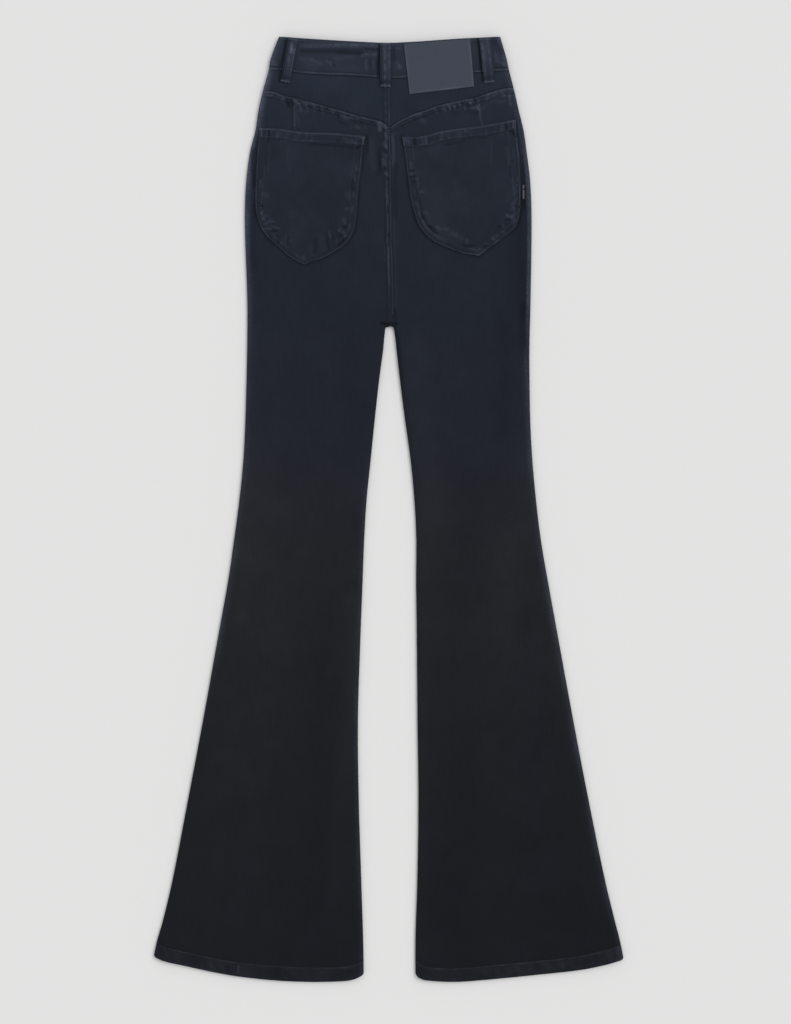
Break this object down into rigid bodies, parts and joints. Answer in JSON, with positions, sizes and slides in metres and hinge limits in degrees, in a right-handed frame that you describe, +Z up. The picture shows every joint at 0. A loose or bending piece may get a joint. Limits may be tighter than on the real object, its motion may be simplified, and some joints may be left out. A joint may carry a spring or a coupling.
{
  "type": "bootcut jeans",
  "caption": "Black high-waist jeans with legs that flare from a narrow knee, laid flat on their front with the back, yoke, patch pockets and waist patch showing.",
  "frame": {"origin": "on the surface the garment lies on, under the centre of its outline", "axes": "+Y from the hems to the waist, +X to the wearer's right, which is also the viewer's, +Z up through the cloth from its front to its back"},
  "size_m": [0.5872, 1.1818, 0.01],
  "materials": {
    "denim_band": "black stretch denim twill with a blue cast, twice folded",
    "denim_yoke": "black stretch denim twill with a blue cast",
    "denim_back": "black stretch denim twill, blue-black at the hips to near black at the hems",
    "denim_front": "black stretch denim twill",
    "denim_pocket": "black stretch denim twill with faint wear along its seams",
    "denim_loop": "folded denim strip with two rows of stitching",
    "patch_leather": "matt slate-grey leather-look, bare",
    "tab_weave": "folded woven tape, bare",
    "dark_metal": "dark metal button, satin"
  },
  "bodies": {
    "root": {"waistband_left": "denim_band", "waistband_right": "denim_band", "back_yoke_left": "denim_yoke", "back_yoke_right": "denim_yoke", "back_leg_left": "denim_back", "back_leg_right": "denim_back", "front_leg_left": "denim_front", "front_leg_right": "denim_front", "back_pocket_left": "denim_pocket", "back_pocket_right": "denim_pocket", "belt_loop_back_left": "denim_loop", "belt_loop_back_centre": "denim_loop", "belt_loop_back_right": "denim_loop", "belt_loop_front_left": "denim_loop", "belt_loop_front_right": "denim_loop", "waist_patch": "patch_leather", "side_tab": "tab_weave", "waist_button": "dark_metal"}
  },
  "joints": []
}
